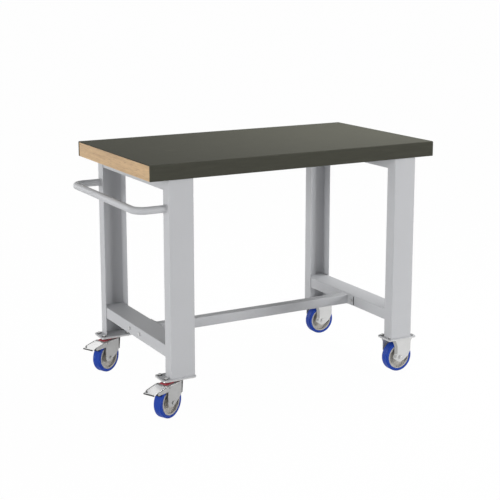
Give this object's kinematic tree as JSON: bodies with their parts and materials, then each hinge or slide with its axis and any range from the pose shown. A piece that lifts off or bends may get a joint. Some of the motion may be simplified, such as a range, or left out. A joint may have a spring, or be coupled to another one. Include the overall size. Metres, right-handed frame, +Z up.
{
  "type": "mobile assembly table",
  "caption": "Workshop assembly table on castors: a covered wooden worktop on folded steel end frames with a bolted stretcher and a push handle at one end.",
  "frame": {"origin": "on the floor, under the middle of the worktop", "axes": "+Z up; +X from the push handle's end to the far end, along the worktop; +Y from the front to the back"},
  "size_m": [1.304, 0.747, 0.96],
  "materials": {
    "cover": "satin",
    "beech": "satin",
    "frame_paint": "satin powder coat",
    "zinc": "bright zinc",
    "tyre": "satin",
    "hub": "matte",
    "seal": "satin",
    "shoe": "matte"
  },
  "bodies": {
    "table": {"worktop_core": "beech", "worktop_cover": "cover", "push_handle": "frame_paint", "stretcher": "frame_paint", "top_rail_left": "frame_paint", "crossbar_left": "frame_paint", "stretcher_plate_left": "frame_paint", "leg_front_left": "frame_paint", "foot_plate_front_left": "frame_paint", "stretcher_bolt_front_left": "zinc", "leg_rear_left": "frame_paint", "foot_plate_rear_left": "frame_paint", "stretcher_bolt_rear_left": "zinc", "top_rail_right": "frame_paint", "crossbar_right": "frame_paint", "stretcher_plate_right": "frame_paint", "leg_front_right": "frame_paint", "foot_plate_front_right": "frame_paint", "stretcher_bolt_front_right": "zinc", "leg_rear_right": "frame_paint", "foot_plate_rear_right": "frame_paint", "stretcher_bolt_rear_right": "zinc", "castor_plate_front_left": "zinc", "swivel_race_front_left": "zinc", "kingpin_front_left": "zinc", "fixed_bracket_front_right": "zinc", "axle_sleeve_front_right": "zinc", "axle_bolt_front_right": "zinc", "axle_nut_front_right": "zinc", "castor_plate_rear_left": "zinc", "swivel_race_rear_left": "zinc", "kingpin_rear_left": "zinc", "fixed_bracket_rear_right": "zinc", "axle_sleeve_rear_right": "zinc", "axle_bolt_rear_right": "zinc", "axle_nut_rear_right": "zinc"},
    "castor_front_left": {"fork_front_left": "zinc", "dust_seal_front_left": "seal", "pedal_pin_front_left": "zinc", "axle_sleeve_front_left": "zinc", "axle_bolt_front_left": "zinc", "axle_nut_front_left": "zinc"},
    "wheel_front_left": {"tyre_front_left": "tyre", "wheel_hub_front_left": "hub"},
    "brake_front_left": {"brake_pedal_front_left": "zinc", "brake_shoe_front_left": "shoe"},
    "wheel_front_right": {"tyre_front_right": "tyre", "wheel_hub_front_right": "hub"},
    "castor_rear_left": {"fork_rear_left": "zinc", "dust_seal_rear_left": "seal", "pedal_pin_rear_left": "zinc", "axle_sleeve_rear_left": "zinc", "axle_bolt_rear_left": "zinc", "axle_nut_rear_left": "zinc"},
    "wheel_rear_left": {"tyre_rear_left": "tyre", "wheel_hub_rear_left": "hub"},
    "brake_rear_left": {"brake_pedal_rear_left": "zinc", "brake_shoe_rear_left": "shoe"},
    "wheel_rear_right": {"tyre_rear_right": "tyre", "wheel_hub_rear_right": "hub"}
  },
  "joints": [
    {"name": "swivel_front_left", "type": "hinge", "parent": "table", "child": "castor_front_left", "pos_m": [-0.512, -0.3, 0.138], "axis": [0, 0, 1], "continuous": true},
    {"name": "spin_front_left", "type": "hinge", "parent": "castor_front_left", "child": "wheel_front_left", "pos_m": [-0.55694, -0.32192, 0.0625], "axis": [-0.4384, 0.8988, 0], "continuous": true},
    {"name": "brake_front_left", "type": "hinge", "parent": "castor_front_left", "child": "brake_front_left", "pos_m": [-0.57492, -0.33069, 0.1281], "axis": [0.4384, -0.8988, 0], "range_deg": [0, 9]},
    {"name": "spin_front_right", "type": "hinge", "parent": "table", "child": "wheel_front_right", "pos_m": [0.504, -0.3, 0.0625], "axis": [0, 1, 0], "continuous": true},
    {"name": "swivel_rear_left", "type": "hinge", "parent": "table", "child": "castor_rear_left", "pos_m": [-0.512, 0.3, 0.138], "axis": [0, 0, 1], "continuous": true},
    {"name": "spin_rear_left", "type": "hinge", "parent": "castor_rear_left", "child": "wheel_rear_left", "pos_m": [-0.55694, 0.27808, 0.0625], "axis": [-0.4384, 0.8988, 0], "continuous": true},
    {"name": "brake_rear_left", "type": "hinge", "parent": "castor_rear_left", "child": "brake_rear_left", "pos_m": [-0.57492, 0.26931, 0.1281], "axis": [0.4384, -0.8988, 0], "range_deg": [0, 9]},
    {"name": "spin_rear_right", "type": "hinge", "parent": "table", "child": "wheel_rear_right", "pos_m": [0.504, 0.3, 0.0625], "axis": [0, 1, 0], "continuous": true}
  ]
}
